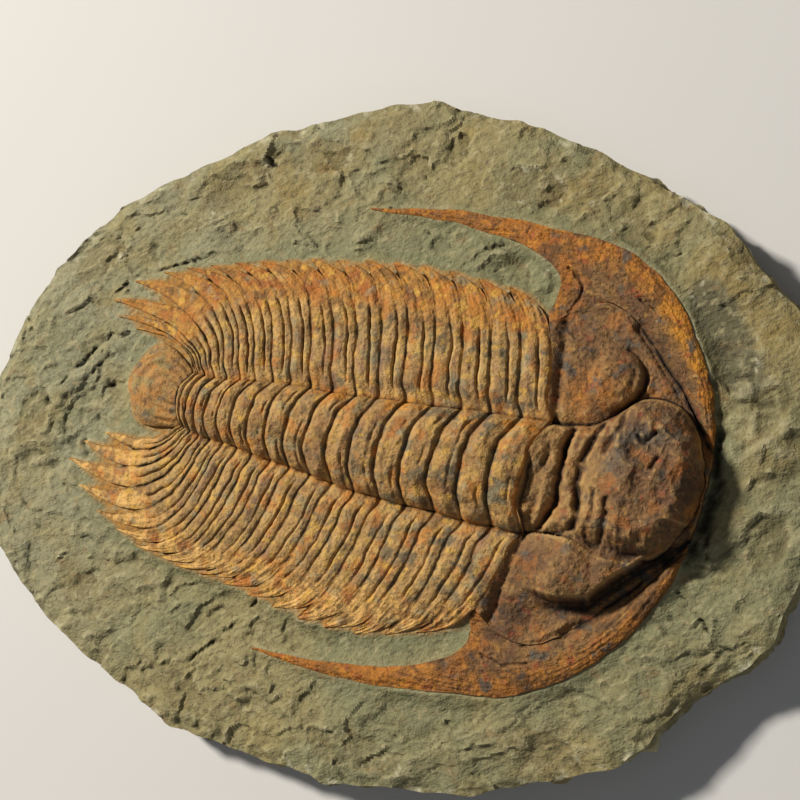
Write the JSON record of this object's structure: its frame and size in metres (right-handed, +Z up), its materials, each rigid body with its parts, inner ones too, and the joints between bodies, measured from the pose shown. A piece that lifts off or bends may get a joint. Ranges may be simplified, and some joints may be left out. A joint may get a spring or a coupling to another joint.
{
  "type": "acadoparadoxides trilobite fossil",
  "caption": "Whole large trilobite fossil with long genal spines and swept-back thoracic spines, lying on an oval slab of grey-green siltstone with a chipped rim.",
  "frame": {"origin": "on the flat underside of the slab, near the slab's middle", "axes": "+X along the body from the tail to the head, +Y to the animal's left, +Z up from the slab's underside through the shell"},
  "size_m": [0.4773, 0.3698, 0.0613],
  "materials": {
    "siltstone": "dull khaki-grey siltstone, split and scraped by hand",
    "head_shell": "dull brown shell stained by iron, with grey smudges",
    "cheek_shell": "dull orange shell stained by limonite",
    "thorax_shell": "dull tan shell stained by limonite, dark in its grooves",
    "tail_shell": "dull tan-orange shell"
  },
  "bodies": {
    "root": {"matrix_slab": "siltstone", "cranidium": "head_shell", "free_cheek_left": "cheek_shell", "free_cheek_right": "cheek_shell", "thoracic_segment_01": "thorax_shell", "thoracic_segment_02": "thorax_shell", "thoracic_segment_03": "thorax_shell", "thoracic_segment_04": "thorax_shell", "thoracic_segment_05": "thorax_shell", "thoracic_segment_06": "thorax_shell", "thoracic_segment_07": "thorax_shell", "thoracic_segment_08": "thorax_shell", "thoracic_segment_09": "thorax_shell", "thoracic_segment_10": "thorax_shell", "thoracic_segment_11": "thorax_shell", "thoracic_segment_12": "thorax_shell", "thoracic_segment_13": "thorax_shell", "thoracic_segment_14": "thorax_shell", "thoracic_segment_15": "thorax_shell", "thoracic_segment_16": "thorax_shell", "thoracic_segment_17": "thorax_shell", "thoracic_segment_18": "thorax_shell", "pygidium": "tail_shell"}
  },
  "joints": []
}
